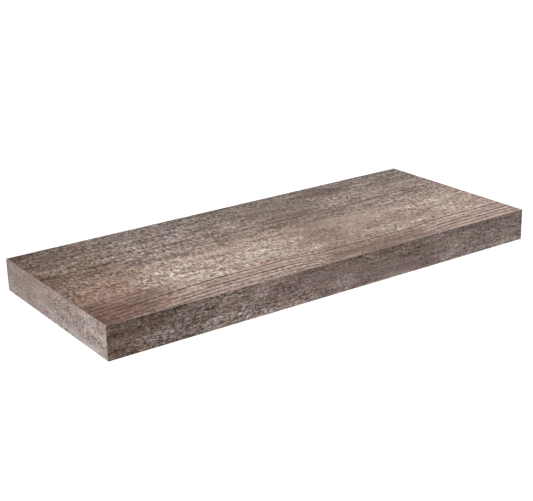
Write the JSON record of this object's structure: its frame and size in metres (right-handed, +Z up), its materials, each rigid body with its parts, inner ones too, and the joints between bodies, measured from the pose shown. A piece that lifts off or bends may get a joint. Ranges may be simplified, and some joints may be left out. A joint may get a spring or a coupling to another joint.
{
  "type": "wall shelf",
  "caption": "Floating wall shelf: a thick hollow-core board in a weathered wood decor, on a hidden steel strip with two rods, locked from below.",
  "frame": {"origin": "Centre of the outer pair of wall-screw holes, on the wall plane at the back of the steel strip, halfway up the board and halfway along it.", "axes": "+Z up, +Y from the room into the wall, +X along the wall, to the right for someone who faces it."},
  "size_m": [0.6, 0.25, 0.04],
  "materials": {
    "decor_skin": "fibreboard under a matt printed driftwood decor",
    "decor_edging": "matt printed driftwood decor",
    "chipboard": "sawn chipboard, unfinished",
    "core_paper": "brown kraft paper",
    "zinc_steel": "bright zinc plate",
    "weld_metal": "zinc plate over a rippled weld",
    "insert_metal": "yellow zinc plate",
    "black_steel": "black oxide, oiled"
  },
  "bodies": {
    "wall_bracket": {"wall_plate": "zinc_steel", "rod_left": "zinc_steel", "rod_right": "zinc_steel", "weld_bead_left": "weld_metal", "weld_bead_right": "weld_metal"},
    "shelf_board": {"top_skin": "decor_skin", "bottom_skin": "decor_skin", "front_rail": "chipboard", "back_rail": "chipboard", "end_rail_left": "chipboard", "end_rail_right": "chipboard", "rod_block_left": "chipboard", "rod_block_right": "chipboard", "paper_core_left": "core_paper", "paper_core_centre": "core_paper", "paper_core_right": "core_paper", "front_edge_band": "decor_edging", "end_edge_band_left": "decor_edging", "end_edge_band_right": "decor_edging", "threaded_insert_left": "insert_metal", "threaded_insert_right": "insert_metal"},
    "locking_screw_left": {"locking_screw_left": "black_steel"},
    "locking_screw_right": {"locking_screw_right": "black_steel"}
  },
  "joints": [
    {"name": "board_slide", "type": "slide", "parent": "wall_bracket", "child": "shelf_board", "axis": [0, -1, 0], "range_m": [0, 0.165]},
    {"name": "locking_screw_left_travel", "type": "slide", "parent": "shelf_board", "child": "locking_screw_left", "axis": [0, 0, -1], "range_m": [0, 0.004]},
    {"name": "locking_screw_right_travel", "type": "slide", "parent": "shelf_board", "child": "locking_screw_right", "axis": [0, 0, -1], "range_m": [0, 0.004]}
  ]
}
